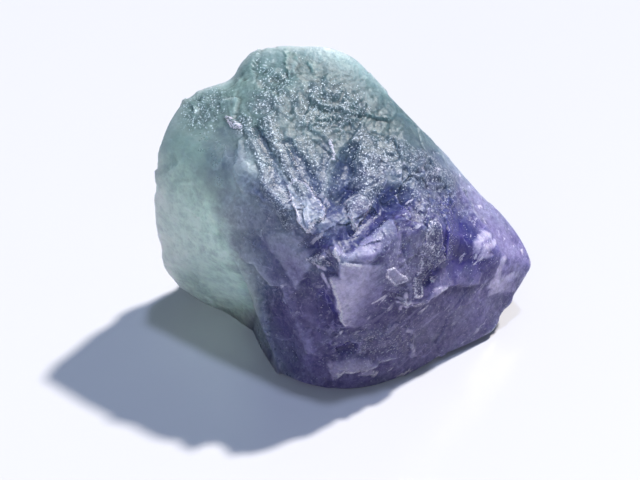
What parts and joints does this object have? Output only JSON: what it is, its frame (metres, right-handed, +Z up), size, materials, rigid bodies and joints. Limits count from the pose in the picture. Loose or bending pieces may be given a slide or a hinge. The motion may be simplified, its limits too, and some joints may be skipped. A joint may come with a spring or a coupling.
{
  "type": "rough fluorite chunk",
  "caption": "Broken chunk of see-through fluorite, green at one end and violet at the other, with frosted ridges, cleavage faces and a flat underside to rest on.",
  "frame": {"origin": "middle of the stone's bounding box, at the level of its flat underside", "axes": "+X along the longest side towards the low pointed end, +Y towards the steep back, +Z up"},
  "size_m": [0.0418, 0.0286, 0.0306],
  "materials": {
    "fluorite": "see-through and cloudy, grey-green at the left and top to deep violet at the right and front, with frosted ridges and waxy cleavage faces"
  },
  "bodies": {
    "root": {"fluorite_chunk": "fluorite"}
  },
  "joints": []
}
